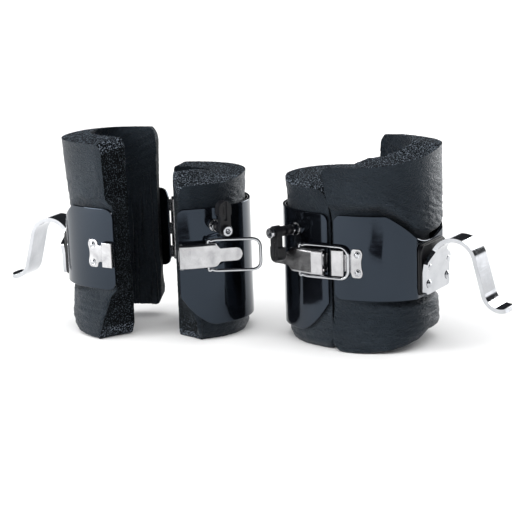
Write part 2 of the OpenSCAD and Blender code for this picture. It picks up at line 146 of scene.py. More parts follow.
def rounded(points, r, steps=5):
    """Closed outline with each corner rounded."""
    result = []
    n = len(points)
    for i in range(n):
        before, at, after = Vector(points[i - 1]), Vector(points[i]), Vector(points[(i + 1) % n])
        reach = min(r, 0.45 * (before - at).length, 0.45 * (after - at).length)
        start = at + (before - at).normalized() * reach
        end = at + (after - at).normalized() * reach
        for k in range(steps + 1):
            t = k / steps
            result.append(tuple(start * (1 - t) ** 2 + at * 2 * t * (1 - t) + end * t * t))
    return result


def evenly(points, n, passes=3):
    """An open path cut into n equal steps, with its kinks eased."""
    lengths = [0]
    for p, q in zip(points, points[1:]):
        lengths.append(lengths[-1] + (Vector(q) - Vector(p)).length)
    xs = list(zip(lengths, [p[0] for p in points]))
    ys = list(zip(lengths, [p[1] for p in points]))
    path = [Vector((along(xs, lengths[-1] * i / n), along(ys, lengths[-1] * i / n))) for i in range(n + 1)]
    for _ in range(passes):
        path = [path[0]] + [(a + 2 * b + c) / 4 for a, b, c in zip(path, path[1:], path[2:])] + [path[-1]]
    return path, lengths[-1]


# ---- mesh builders: each returns a mesh in boot millimetres ----
def new_mesh(verts, faces, slots=None):
    mesh = bpy.data.meshes.new("piece")
    mesh.from_pydata([tuple(v) for v in verts], [], faces)
    if slots:
        mesh.polygons.foreach_set("material_index", slots)
    return mesh


def block(point, counts, rim_slot=0, end_slot=0):
    """Bent box: point(i, j, k) for whole steps from 0 to counts, where k = 0 is the outer face. The top and
    bottom get the material slot rim_slot, the two ends end_slot."""
    na, nv, nu = counts
    index, verts, faces, slots = {}, [], [], []

    def vertex(spot):
        if spot not in index:
            index[spot] = len(verts)
            verts.append(point(*spot))
        return index[spot]

    def side(n1, n2, place, slot):
        for p in range(n1):
            for q in range(n2):
                ring = [place(p, q), place(p + 1, q), place(p + 1, q + 1), place(p, q + 1)]
                faces.append([vertex(spot) for spot in ring])
                slots.append(slot)

    for end in (0, nu):
        side(na, nv, lambda p, q: (p, q, end), 0)
    for end in (0, nv):
        side(na, nu, lambda p, q: (p, end, q), rim_slot)
    for end in (0, na):
        side(nv, nu, lambda p, q: (end, p, q), end_slot)
    return new_mesh(verts, faces, slots)


def slab(outline, start, end, axis):
    """Outline drawn square to an axis, thickened from start to end along it."""
    def place(u, v, w):
        return {"x": (w, u, v), "y": (u, w, v), "z": (u, v, w)}[axis]

    n = len(outline)
    verts = [place(u, v, w) for w in (start, end) for u, v in outline]
    sides = [[i, (i + 1) % n, (i + 1) % n + n, i + n] for i in range(n)]
    return new_mesh(verts, [list(range(n)), list(range(n, 2 * n))] + sides)


def turned(profile, n=48, closed=False, shape=None):
    """Profile of (x, radius) turned about +X. A closed profile makes a ring with a bore."""
    verts = []
    for x, r in profile:
        for i in range(n):
            a = 2 * pi * i / n
            rr = shape(x, r, a) if shape else r
            verts.append((x, rr * cos(a), rr * sin(a)))
    rings = len(profile)
    pairs = [(k, (k + 1) % rings) for k in range(rings if closed else rings - 1)]
    faces = [[a * n + i, a * n + (i + 1) % n, b * n + (i + 1) % n, b * n + i]
             for a, b in pairs for i in range(n)]
    if not closed:
        faces += [list(range(n)), list(range((rings - 1) * n, rings * n))]
    return new_mesh(verts, faces)


def tube(path, r, n=20):
    """Wire of radius r along a path in the X-Z plane at Y = 0, with flat ends."""
    verts = []
    for i, p in enumerate(path):
        ahead = path[min(i + 1, len(path) - 1)] - path[max(i - 1, 0)]
        across = Vector((-ahead.y, ahead.x)).normalized()
        for k in range(n):
            a = 2 * pi * k / n
            verts.append((p.x + across.x * r * cos(a), r * sin(a), p.y + across.y * r * cos(a)))
    faces = [[i * n + k, i * n + (k + 1) % n, (i + 1) * n + (k + 1) % n, (i + 1) * n + k]
             for i in range(len(path) - 1) for k in range(n)]
    last = (len(path) - 1) * n
    return new_mesh(verts, faces + [list(range(n)), list(range(last, last + n))])


def moved(mesh, matrix):
    mesh.transform(matrix)
    return mesh


def joined(meshes):
    bm = bmesh.new()
    for mesh in meshes:
        bm.from_mesh(mesh)
    result = bpy.data.meshes.new("piece")
    bm.to_mesh(result)
    bm.free()
    return result


def add_piece(name, mesh, matrix, body, nodes, materials, bevel=0, segments=3, flat=40):
    mesh.transform(matrix)
    bm = bmesh.new()
    bm.from_mesh(mesh)
    bmesh.ops.recalc_face_normals(bm, faces=bm.faces)
    bm.to_mesh(mesh)
    bm.free()
    mesh.shade_smooth()
    piece = bpy.data.objects.new(name, mesh)
    bpy.context.scene.collection.objects.link(piece)
    for look in materials:
        mesh.materials.append(look)
    if bevel:
        rounding = piece.modifiers.new("rounding", "BEVEL")
        rounding.width = bevel * MM
        rounding.segments = segments
        rounding.limit_method = "ANGLE"
        rounding.angle_limit = radians(flat)
        rounding.harden_normals = True
    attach(piece, body)
    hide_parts(*nodes)
    return piece


# ---- where the halves stand ----
def place_half(side, mark_spot, mark):
    """Matrix from boot millimetres to world metres, from the cuff hinge and one more point."""
    mirror = 1 if side == "right" else -1
    hinge = Vector(joint(side + "_cuff_hinge")["pos_m"])
    inside = atan2(mark_spot[1] - HINGE[1], mirror * (mark_spot[0] - HINGE[0]))
    outside = atan2(mark[1] - hinge[1], mark[0] - hinge[0])
    return (Matrix.Translation((hinge[0], hinge[1], 0)) @ Matrix.Rotation(outside - inside, 4, "Z")
            @ Matrix.Diagonal((mirror * MM, MM, MM, 1)) @ Matrix.Translation((-HINGE[0], -HINGE[1], 0)))


def joint(name):
    return next(j for j in frame["joints"] if j["name"] == name)


def seat(side):
    return next(m for m in frame["record"]["mounts"] if m["name"] == side + "_bar_seat")


# ---- materials ----
def material(name, **values):
    made = bpy.data.materials.new(name)
    made.use_nodes = True
    shader = made.node_tree.nodes["Principled BSDF"]
    for key, value in values.items():
        shader.inputs[key.replace("_", " ")].default_value = value
    return made


def link(made, a, b):
    made.node_tree.links.new(a, b)


def pattern(made, kind, scale, stretch=(1, 1, 1), **values):
    """Texture node of a kind, laid in the piece's own coordinates. Scale is in repeats per metre."""
    nodes = made.node_tree.nodes
    place = nodes.get("place") or nodes.new("ShaderNodeTexCoord")
    place.name = "place"
    lay = nodes.new("ShaderNodeMapping")
    lay.inputs["Scale"].default_value = stretch
    link(made, place.outputs["Object"], lay.inputs["Vector"])
    texture = nodes.new(kind)
    texture.inputs["Scale"].default_value = scale
    for key, value in values.items():
        texture.inputs[key].default_value = value
    link(made, lay.outputs["Vector"], texture.inputs["Vector"])
    return texture


def ramp(made, source, stops):
    """Colour ramp over a source value, from (place, colour) stops."""
    node = made.node_tree.nodes.new("ShaderNodeValToRGB")
    bands = node.color_ramp.elements
    while len(bands) < len(stops):
        bands.new(0.5)
    for band, (place, colour) in zip(bands, stops):
        band.position = place
        band.color = (*colour, 1) if isinstance(colour, tuple) else (colour, colour, colour, 1)
    link(made, source, node.inputs["Fac"])
    return node.outputs["Color"]


def spread(made, source, low, high):
    """Source value from 0..1 stretched to low..high."""
    node = made.node_tree.nodes.new("ShaderNodeMapRange")
    node.inputs["To Min"].default_value = low
    node.inputs["To Max"].default_value = high
    link(made, source, node.inputs["Value"])
    return node.outputs["Result"]


def bump(made, height, strength, distance, below=None):
    node = made.node_tree.nodes.new("ShaderNodeBump")
    node.inputs["Strength"].default_value = strength
    node.inputs["Distance"].default_value = distance
    link(made, height, node.inputs["Height"])
    if below is not None:
        link(made, below, node.inputs["Normal"])
    return node.outputs["Normal"]


def shader_input(made, name):
    return made.node_tree.nodes["Principled BSDF"].inputs[name]


def foam_skin():
    """Leathery outside of closed-cell foam: soft black with fine wrinkles and scuffs."""
    made = material("foam_skin", Sheen_Weight=0.06, Sheen_Roughness=0.35, Specular_IOR_Level=0.36,
                    Specular_Tint=(0.66, 0.83, 1, 1))
    cloud = pattern(made, "ShaderNodeTexNoise", 22, Detail=5)
    tone = ramp(made, cloud.outputs["Fac"], [(0.3, (0.003, 0.004, 0.006)), (0.7, (0.009, 0.012, 0.016))])
    link(made, tone, shader_input(made, "Base Color"))
    grain = pattern(made, "ShaderNodeTexNoise", 700, Detail=4)
    link(made, spread(made, grain.outputs["Fac"], 0.26, 0.56), shader_input(made, "Roughness"))
    wrinkle = pattern(made, "ShaderNodeTexNoise", 230, (1, 1, 2), Detail=5, Roughness=0.65, Distortion=1)
    fine = bump(made, grain.outputs["Fac"], 0.9, 0.0009)
    link(made, bump(made, wrinkle.outputs["Fac"], 1, 0.002, fine), shader_input(made, "Normal"))
    return made


def foam_cut(name, dark, pale):
    """Cut face of the foam: open cells that catch the light as pale specks on a dark ground."""
    made = material(name, Specular_IOR_Level=0.08, Specular_Tint=(0.75, 0.88, 1, 1))
    cells = pattern(made, "ShaderNodeTexVoronoi", 800, Randomness=1)
    clumps = pattern(made, "ShaderNodeTexNoise", 900, Detail=2, Roughness=0.5)
    both = made.node_tree.nodes.new("ShaderNodeMath")
    both.operation = "MULTIPLY"
    link(made, cells.outputs["Distance"], both.inputs[0])
    link(made, clumps.outputs["Fac"], both.inputs[1])
    link(made, ramp(made, both.outputs[0], [(0.21, 0.001), (0.3, dark), (0.42, pale)]),
         shader_input(made, "Base Color"))
    link(made, spread(made, clumps.outputs["Fac"], 0.6, 0.95), shader_input(made, "Roughness"))
    link(made, bump(made, both.outputs[0], 0.8, 0.0012), shader_input(made, "Normal"))
    return made


def shell_gloss():
    """Gloss black moulded shell with faint waves, dust and handling scuffs."""
    made = material("shell_gloss", Specular_IOR_Level=0.6, Specular_Tint=(0.62, 0.78, 1, 1))
    cloud = pattern(made, "ShaderNodeTexNoise", 26, Detail=4)
    link(made, ramp(made, cloud.outputs["Fac"], [(0.35, (0.001, 0.0012, 0.0016)),
                                                 (0.7, (0.003, 0.0035, 0.005))]),
         shader_input(made, "Base Color"))
    scuff = pattern(made, "ShaderNodeTexNoise", 90, (1, 1, 3), Detail=8, Roughness=0.7)
    dulled = ramp(made, scuff.outputs["Fac"], [(0.4, 0.05), (0.75, 0.16)])
    link(made, dulled, shader_input(made, "Roughness"))
    waves = pattern(made, "ShaderNodeTexNoise", 30, Detail=1)
    link(made, bump(made, waves.outputs["Fac"], 0.25, 0.0006), shader_input(made, "Normal"))
    return made


def chrome():
    """Polished plated steel with faint smears and hairline scratches."""
    made = material("chrome", Metallic=1)
    smear = pattern(made, "ShaderNodeTexNoise", 60, Detail=6, Roughness=0.65)
    link(made, ramp(made, smear.outputs["Fac"], [(0.35, (0.53, 0.54, 0.56)), (0.7, (0.42, 0.43, 0.45))]),
         shader_input(made, "Base Color"))
    dulled = ramp(made, smear.outputs["Fac"], [(0.4, 0.05), (0.75, 0.17)])
    link(made, dulled, shader_input(made, "Roughness"))
    hairs = pattern(made, "ShaderNodeTexNoise", 300, (0.2, 0.2, 4), Detail=2)
    link(made, bump(made, hairs.outputs["Fac"], 0.08, 0.0002), shader_input(made, "Normal"))
    return made


def brushed_steel():
    """Bright steel with fine brushing along its length and dull, smeared patches."""
    made = material("brushed_steel", Metallic=1, Anisotropic=0.4)
    lines = pattern(made, "ShaderNodeTexNoise", 420, (0.15, 0.15, 6), Detail=5, Roughness=0.7)
    smear = pattern(made, "ShaderNodeTexNoise", 75, Detail=5, Roughness=0.6, Distortion=0.6)
    blend = made.node_tree.nodes.new("ShaderNodeMath")
    blend.operation = "MULTIPLY"
    link(made, spread(made, lines.outputs["Fac"], 0.75, 1.1), blend.inputs[0])
    link(made, smear.outputs["Fac"], blend.inputs[1])
    link(made, ramp(made, blend.outputs[0], [(0.28, (0.36, 0.36, 0.37)), (0.42, (0.46, 0.46, 0.47)),
                                             (0.6, (0.56, 0.56, 0.57))]), shader_input(made, "Base Color"))
    link(made, spread(made, smear.outputs["Fac"], 0.12, 0.34), shader_input(made, "Roughness"))
    link(made, bump(made, blend.outputs[0], 0.12, 0.0004), shader_input(made, "Normal"))
    return made


def black_plastic():
    """Satin black moulded plastic with a fine texture."""
    made = material("black_plastic", Specular_IOR_Level=0.3)
    grain = pattern(made, "ShaderNodeTexNoise", 1400, Detail=3)
    wear = pattern(made, "ShaderNodeTexNoise", 70, Detail=6, Roughness=0.7)
    link(made, ramp(made, wear.outputs["Fac"], [(0.4, (0.003, 0.003, 0.004)), (0.75, (0.01, 0.011, 0.013))]),
         shader_input(made, "Base Color"))
    link(made, spread(made, wear.outputs["Fac"], 0.22, 0.5), shader_input(made, "Roughness"))
    link(made, bump(made, grain.outputs["Fac"], 0.25, 0.0002), shader_input(made, "Normal"))
    return made


def pale_floor():
    made = material("pale_floor", Roughness=0.9, Specular_IOR_Level=0.1)
    mottle = pattern(made, "ShaderNodeTexNoise", 3, Detail=3)
    link(made, ramp(made, mottle.outputs["Fac"], [(0.3, 0.86), (0.7, 0.88)]),
         shader_input(made, "Base Color"))
    return made


SKIN = foam_skin()
# Two copies of the cut-foam material: the lighter one, on the pads' tops and bottoms, is painted light as if lit
# from above; the much darker one, on the parting faces, is painted shade.
CUT_PAINTED_LIT = foam_cut("foam_cut", (0.005, 0.007, 0.009), (0.15, 0.175, 0.21))
PARTING_PAINTED_SHADE = foam_cut("foam_parting_painted_shade", (0.001, 0.0015, 0.002), (0.045, 0.055, 0.065))
GLOSS = shell_gloss()
CHROME = chrome()
STEEL = brushed_steel()
PLASTIC = black_plastic()


# ---- foam pads ----
def crease(spot, width):
    """1 in the bottom of a crease, 0 away from it. Creases follow where the noise changes sign."""
    return max(0, 1 - abs(noise.noise(spot)) / width)


def skin_relief(run, z, top, seed):
    """Height of the foam's skin in millimetres, at a distance run round the pad: long slanting folds above
    the shell, level ones below it, small creases and soft lumps."""
    lumps = 0.5 * noise.noise(Vector((run / 38, z / 30, seed)))
    slant = z + 0.4 * run
    folds = crease(Vector((run / 45, slant / 7, seed + 3)), 0.2)
    fine = crease(Vector((run / 18, slant / 4, seed + 7)), 0.3)
    above = smooth((z - STRAP_TOP + 24) / 6) * (0.3 + 0.7 * smooth((STRAP_TOP + 34 - z) / 24))
    below = smooth((STRAP_BOTTOM + 2 - z) / 6)
    flat_folds = crease(Vector((run / 55, z / 4.6, seed + 11)), 0.26)
    return (lumps - above * smooth((top - z) / 8) * (0.8 * folds + 0.6 * fine)
            - below * (0.8 * flat_folds + 0.5 * fine))


def lining_relief(run, z, seed):
    """Height of the inner skin: creases that run up and down, and slanting ones near the top."""
    upright = crease(Vector((run / 4.6, z / 60, seed)), 0.28)
    slanting = crease(Vector(((run + z) / 34, (z - 0.6 * run) / 5, seed + 5)), 0.28)
    high = smooth((z - 120) / 40)
    return noise.noise(Vector((run / 30, z / 40, seed))) - mix(1.8 * upright, 1.6 * slanting, high)


def pore(spot, z):
    """Height of the open cells on a cut face, in millimetres."""
    return PORE_DEPTH * noise.noise(Vector((spot.x / PORE, spot.y / PORE, z / PORE)))


def leaned(lean, z):
    """How far the closed boot's front pad swells over its heel pad at a height."""
    return lean * max(0, z - STRAP_TOP + 6) / 50


def front_foam(seed, height, rise, flare, recess, lean):
    """Front pad, higher by rise at the shin and hinge than at the latch. Flare is how far it stands out just
    above the shell and at the top, recess how far its outer corners stand back from the parting plane, and
    lean how far its upper latch corner swells over the heel pad."""
    counts = (150, 112, 14)
    latch_round, hinge_round, foot_round = 9, 13, 12
    angles = even_angles(FRONT_CURVE, FOAM_HALF_W, FRONT_POWER, counts[0])

    def point(i, j, k):
        a = angles[i]
        u = k / counts[2]
        v = j / counts[1]
        share = abs(sin(a))
        bx, by = plan(1, 1, FRONT_POWER, a)
        x = bx * FRONT_CURVE
        corner = corner_drop(x, latch_round if a < 0 else hinge_round)
        top = height + rise * min(1, (sin(a) + 1) / 1.2) - corner
        low = FRONT_FOAM_ARCH * min(1, sin(a) + 1) + corner_drop(x, foot_round)
        inner_rise = 4 - 13 * smooth(1 - x / 40) * lean / 9 if a < 0 else 4
        z = mix(low, top + inner_rise * u, v)
        above = mix(flare[0], flare[1], (z - STRAP_TOP) / (height - STRAP_TOP)) if z > STRAP_BOTTOM else 0
        bulge = above + share * 5 * smooth((STRAP_BOTTOM - 6 - z) / 30)
        tuck = -4 * (1 - share) * smooth((low + 8 - z) / 8)
        free = Vector((bx * (FRONT_CURVE + bulge + tuck), by * (FOAM_HALF_W + bulge)))
        waist = Vector(plan(FRONT_REACH - 0.6, FOAM_HALF_W, 2, a))
        brim = strap_edge(by * HALF_W)
        held = min(smooth((brim + 12 - z) / 11), smooth((z - STRAP_BOTTOM + 8) / 7))
        run = FRONT_CURVE * a
        relief = skin_relief(run, z, top, seed) * (1 - 0.8 * held)
        outer = free.lerp(waist, held)
        outer += outer.normalized() * relief
        scale = 1 + 0.1 * smooth((z - STRAP_TOP) / (top + 4 - STRAP_TOP))
        inner = Vector(plan(*FRONT_CAVITY, a)) * scale
        inner -= inner.normalized() * lining_relief(run * 0.55, z, seed + 20)
        spot = outer.lerp(inner, u)
        near = smooth(1 - spot.x / CORNER_REACH)
        under = smooth((z - 40) / 12) * smooth((140 - z) / 12)
        squeeze = 1 - 0.75 * under + 0.8 * smooth((44 - z) / 40) if by < 0 else 1
        back = recess * squeeze * (1 - u) * near
        if by < 0:
            swell = (recess > 0) * u * 0.6 * smooth((z - 140) / 40)
            back -= (leaned(lean, z) + swell) * near
        else:
            back += 7 * (lean > 0) * near * smooth((z - STRAP_TOP) / 30)
        edge = pore(spot, z) if j in (0, counts[1]) else 0
        side = pore(spot, z) if i in (0, counts[0]) else 0
        return (HALF_SLIT + spot.x + back + side * (recess > 0), spot.y, z + edge)

    return block(point, counts, rim_slot=1, end_slot=2)


def heel_foam(seed, recess, swell, lean):
    """Heel pad. Recess is how far its outer corners stand back from the parting plane at the foot, swell how
    far its inner latch corner stands out, lean how far the front pad presses its upper latch corner back."""
    counts = (130, 96, 12)
    top_round, foot_round = 10, 7
    angles = even_angles(HEEL_REACH, FOAM_HALF_W, HEEL_POWER, counts[0])

    def point(i, j, k):
        a = angles[i]
        u = k / counts[2]
        bx, by = plan(1, 1, HEEL_POWER, a)
        x = bx * HEEL_REACH
        latch = smooth(-sin(a) * 1.4 - 0.2)
        top = HEEL_FOAM_TOP - corner_drop(x, top_round) - latch * (1 - u) * 5 + latch * u * 5
        low = corner_drop(x, foot_round)
        z = mix(low, top, j / counts[1])
        grow = 1.5 * smooth((z - STRAP_TOP) / 27) - 3 * smooth((low + 6 - z) / 6)
        outer = Vector((bx * (HEEL_REACH + grow), by * (FOAM_HALF_W + grow)))
        free = max(smooth((z - STRAP_TOP + 1) / 4), smooth((26 - z) / 8))
        run = 70 * a
        outer += outer.normalized() * skin_relief(run, z, top, seed) * free * 0.8
        inner = Vector(plan(*HEEL_CAVITY, a))
        inner -= inner.normalized() * lining_relief(run * 0.5, z, seed + 20)
        spot = outer.lerp(inner, u)
        near = smooth(1 - spot.x / CORNER_REACH)
        foot = 0.25 + 0.75 * smooth((46 - z) / 30)
        back = recess * foot * (1 - u) * near
        if by < 0:
            back += (leaned(lean, z) - swell * u) * near
        edge = pore(spot, z) if j in (0, counts[1]) else 0
        side = pore(spot, z) if i in (0, counts[0]) else 0
        return (-HALF_SLIT - spot.x - back - side * (recess > 0), spot.y, z + edge)

    return block(point, counts, rim_slot=1, end_slot=2)


# ---- gloss shells ----
def strap_edge(y):
    """Upper edge of the front shell: level, a straight slope, then a round dip behind the hook."""
    side = abs(y)
    if side >= STRAP_LEVEL_Y:
        return STRAP_TOP
    if side >= STRAP_DIP_Y:
        return STRAP_TOP - STRAP_SLOPE_DROP * (STRAP_LEVEL_Y - side) / (STRAP_LEVEL_Y - STRAP_DIP_Y)
    return STRAP_TOP - STRAP_SLOPE_DROP - STRAP_DIP_DROP * (1 - (side / STRAP_DIP_Y) ** 2)


def front_shell():
    counts = (140, 26, 2)
    angles = even_angles(FRONT_CURVE, HALF_W, FRONT_POWER, counts[0])

    def point(i, j, k):
        ox, oy = plan(FRONT_CURVE + SHELL_T, HALF_W, FRONT_POWER, angles[i])
        ix, iy = plan(FRONT_CURVE, HALF_W - SHELL_T, FRONT_POWER, angles[i])
        outer = Vector((min(ox, FRONT_REACH + SHELL_T), oy))
        inner = Vector((min(ix, FRONT_REACH), iy))
        spot = outer.lerp(inner, k / counts[2])
        top = strap_edge(oy) - corner_drop(ox, 9)
        low = STRAP_BOTTOM + corner_drop(ox, 8)
        return (SHELL_START + spot.x, spot.y, mix(low, top, j / counts[1]))

    return block(point, counts)


def heel_shell():
    counts = (140, 30, 2)
    angles = even_angles(HEEL_REACH, HALF_W, HEEL_POWER, counts[0])

    def point(i, j, k):
        outer = Vector(plan(HEEL_REACH + SHELL_T, HALF_W, HEEL_POWER, angles[i]))
        inner = Vector(plan(HEEL_REACH, HALF_W - SHELL_T, HEEL_POWER, angles[i]))
        spot = outer.lerp(inner, k / counts[2])
        x = plan(HEEL_REACH, 1, HEEL_POWER, angles[i])[0]
        top = STRAP_TOP - corner_drop(x, 7)
        low = HEEL_SHELL_BOTTOM + 30 * max(0, 1 - x / 34) ** 1.8
        return (-SHELL_START - spot.x, spot.y, mix(low, top, j / counts[1]))

    return block(point, counts)


# ---- bar hook and what holds it ----
def hook_path():
    """Middle line of the bent plate in the X-Z plane, from the foot of the plate to the tip."""
    mid = HOOK_X + HOOK_T / 2
    r = ARCH_R + HOOK_T / 2
    lean = radians(LEG_LEAN)
    path = [(mid, 54), (mid, 70), (mid, 73.5)]
    for k in range(61):
        a = mix(pi, lean, k / 60)
        path.append((ARCH_X + r * cos(a), ARCH_Z + r * sin(a)))
    down = Vector((sin(lean), -cos(lean)))
    out = Vector((cos(lean), sin(lean)))
    foot = Vector(path[-1]) + down * LEG_L
    centre = foot + out * TIP_R
    for k in range(31):
        a = radians(TIP_TURN) * k / 30
        path.append(tuple(centre - out * TIP_R * cos(a) + down * TIP_R * sin(a)))
    return path


def hook():
    counts = (190, 18, 2)
    plate_round, tip_round = 4, 8
    path, length = evenly(hook_path(), counts[0], 4)
    shoulder = [(29.5, HOOK_PLATE_W / 2), (31.5, HOOK_PLATE_W / 2 - 1.4), (37, 15.2), (39.5, 13),
                (43, HOOK_W / 2)]

    def half_width(s):
        corners = corner_drop(s, plate_round) + corner_drop(length - s, tip_round)
        return max(0.4, along([(0, HOOK_PLATE_W / 2)] + shoulder, s) - corners)

    def point(i, j, k):
        ahead = (path[min(i + 1, counts[0])] - path[max(i - 1, 0)]).normalized()
        out = Vector((-ahead.y, ahead.x)) * HOOK_T * (0.5 - k / counts[2])
        across = (2 * j / counts[1] - 1) * half_width(length * i / counts[0])
        return (path[i].x - out.x, across, path[i].y - out.y)

    return block(point, counts)


def rivet(head_r, head_h):
    """Low domed head with a ring groove, along +X, and a short shank behind it."""
    profile = [(-2, head_r * 0.5), (0, head_r * 0.5), (0, head_r), (0.2 * head_h, head_r),
               (0.36 * head_h, head_r * 0.93), (0.4 * head_h, head_r * 0.84), (0.22 * head_h, head_r * 0.78),
               (0.5 * head_h, head_r * 0.7), (0.8 * head_h, head_r * 0.52), (0.95 * head_h, head_r * 0.28),
               (head_h, head_r * 0.08)]
    return turned(profile, 40)


def hook_rivets():
    face = HOOK_X + HOOK_T
    return joined([moved(rivet(4, 2.2), Matrix.Translation((face, y, z))) for y, z in HOOK_RIVETS])


def backing_plates():
    """Two stacked black plates between the shell and the hook."""
    w = 27
    outline = [(-w, 52.5), (w, 52.5), (w, 100.5), (-w, 100.5)]
    inset = [(-w + 0.8, 53.3), (w - 0.8, 53.3), (w - 0.8, 99.7), (-w + 0.8, 99.7)]
    start = HOOK_X - 3.5
    return joined([slab(rounded(outline, 7), start, start + 1.9, "x"),
                   slab(rounded(inset, 7), start + 2, start + 3.45, "x")])


# ---- catch ----
CATCH_FRAME = Matrix.Translation((4, -HALF_W, LATCH_Z)) @ Matrix.Rotation(radians(5.5), 4, "Z")


def catch():
    """Plate with two riveted lobes, a neck, and a raised lip folded over the bail."""
    lobes = [(1, -8), (17, -8), (18, -13.6), (27, -13.6), (28.8, -9), (27.2, -3), (27.2, 3), (28.8, 9),
             (27, 13.6), (18, 13.6), (17, 8), (1, 8)]
    lip = [(-1.6, 0), (-1.6, -5), (-0.6, -5.6), (9.6, -5.4), (11, -4), (11, -1.6), (10.1, -1.6),
           (9.7, -3.2), (2.4, -3.2), (2, 0)]
    plate = slab(rounded(lobes, 3.4), -1.4, 0, "y")
    return moved(joined([plate, slab(rounded(lip, 0.9, 3), -12, 12, "z")]), CATCH_FRAME)


def catch_rivets():
    outward = Matrix.Rotation(radians(-90), 4, "Z")
    heads = [moved(rivet(3.4, 1.5), Matrix.Translation((23.5, -1.4, z)) @ outward) for z in (-8.5, 8.5)]
    return moved(joined(heads), CATCH_FRAME)


# ---- latch lever and bail ----
def lever_face(x):
    """Y of the lever's outer face at a distance along it."""
    corners = [(LEVER_TIP_X, -57.8), (LEVER_TAIL_X, -62.5), (-15, -67.6), (-4.2, -67.2), (-2.8, -64.4)]
    return along(corners, x)


def lever_channel():
    """Folded channel: an outer wall with a flange above and below. The wall thins at the nose, where it
    swings past the ears of the latch base."""
    counts = (56, 44, 2)
    wall = 1.6
    radius = 2.2
    start_x, nose_x, ears_y = -3.6, -4.2, -65.6
    bend_start, bend_end = 0.4, 0.65

    def point(i, j, k):
        x = mix(start_x, LEVER_TAIL_X, i / counts[0])
        face = lever_face(x)
        foot = along([(LEVER_TAIL_X, -55.4), (-27, -57), (-16, -59.2), (-2.8, -60.2)], x)
        end = corner_drop(x - LEVER_TAIL_X, 2.5)
        depth = foot - face - 0.5 * end
        sheet = min(wall, ears_y - face) if x > nose_x else wall
        inset = sheet * k / counts[2]
        r = radius - inset
        half_h = LEVER_HALF_H - end
        t = abs(j / counts[1] - 0.5) * 2
        sign = copysign(1, j / counts[1] - 0.5)
        if t < bend_start:
            y, z = inset, t / bend_start * (half_h - radius)
        elif t < bend_end:
            bend = (t - bend_start) / (bend_end - bend_start) * pi / 2
            y, z = radius - r * cos(bend), half_h - radius + r * sin(bend)
        else:
            y, z = mix(radius, depth, (t - bend_end) / (1 - bend_end)), half_h - inset
        return (x, face + y, LATCH_Z + sign * z)

    return block(point, counts)


def lever_tongue():
    """Finger tongue that runs out of the channel, with a rounded end turned slightly outwards."""
    counts = (40, 12, 2)
    start_x, tip_r, sheet = -33, 6.25, 1.5

    def point(i, j, k):
        x = mix(start_x, LEVER_TIP_X, i / counts[0])
        end = corner_drop(x - LEVER_TIP_X, tip_r)
        half_h = max(0.3, tip_r + 4 * smooth((x + 43.5) / 4.5) - end)
        lift = 0.9 * smooth((-55 - x) / 9)
        y = lever_face(x) + 0.12 - lift + sheet * k / counts[2]
        return (x, y, LATCH_Z + half_h * (2 * j / counts[1] - 1))

    return block(point, counts)


def latch_pin():
    """Lever pin with a small head at each end."""
    reach = LEVER_HALF_H
    profile = [(-reach - 0.9, 1.4), (-reach - 0.6, 2.3), (-reach, 2.5), (-reach, 1.75), (reach, 1.75),
               (reach, 2.5), (reach + 0.6, 2.3), (reach + 0.9, 1.4)]
    middle = Matrix.Translation((*LEVER_PIN, LATCH_Z))
    upright = middle @ Matrix.Rotation(radians(90), 4, "Y")
    return moved(turned(profile, 32), upright)


def bail(swing):
    """Wire loop with turned-in ends, swung about its pivot."""
    end_x = 50.2
    half_h = 15
    outward = 1.9
    inside = LEVER_HALF_H - 2.2
    corners = [(0, half_h), (end_x, half_h), (end_x, -half_h), (0, -half_h)]
    loop = rounded(corners, 9, 12)
    loop = [p for p in loop if p[0] > 2.5]
    turn_in = rounded([(0, inside), (0, half_h), (8, half_h)], 2.2, 8)
    turn_in = [p for p in turn_in if p[0] < 2.6 and p[1] > inside + 0.5]
    path = [(0, inside)] + turn_in + loop + [(x, -z) for x, z in reversed(turn_in)] + [(0, -inside)]
    pivot = Matrix.Translation((*BAIL_PIVOT, LATCH_Z))
    turn = Matrix.Rotation(radians(outward + swing), 4, "Z")
    return moved(tube(evenly(path, 190, 2)[0], WIRE_R), pivot @ turn)


# ---- safety lock, along +X of a frame square to the heel shell ----
def lock_frame():
    x, y = plan(HEEL_REACH + SHELL_T, HALF_W, HEEL_POWER, radians(LOCK_ANGLE))
    return (Matrix.Translation((-SHELL_START - x, -y, LOCK_Z))
            @ Matrix.Rotation(radians(-90 - LOCK_TURN), 4, "Z"))


def hexagon(apothem):
    """Radius of a nut at an angle: flat sided, with its corners turned down near both faces."""
    def shape(x, r, a):
        return min(r, apothem / cos((a % (pi / 3)) - pi / 6))
    return shape


def lock_screw():
    def socket(x, r, a):
        return r if r > 2.3 or x < 27 else r * 0.87 / cos((a % (pi / 3)) - pi / 6)

    profile = [(-3, 2), (27.7, 2), (27.7, 4.6), (28, 4.9), (32, 4.9), (32.5, 4.7), (32.7, 4.2), (32.7, 2.25),
               (32.4, 2.05), (30, 2.05)]
    return turned(profile, 60, shape=socket)


def lock_washer():
    return turned([(0, 2.1), (0, 6), (1.5, 6), (1.5, 2.1)], 48, closed=True)


def lock_nut():
    profile = [(1.5, 2.1), (1.5, 5), (2.3, 5.8), (6.2, 5.8), (7, 5), (7, 2.1)]
    return turned(profile, 72, closed=True, shape=hexagon(5.02))


def lock_sleeve():
    profile = [(7, 2.1), (7, 4.3), (7.6, 4.8), (12.6, 4.8), (13, 4.45), (13.6, 4.45), (14, 4.8), (20.4, 4.8),
               (21, 4.3), (21, 2.1)]
    return turned(profile, 48, closed=True)


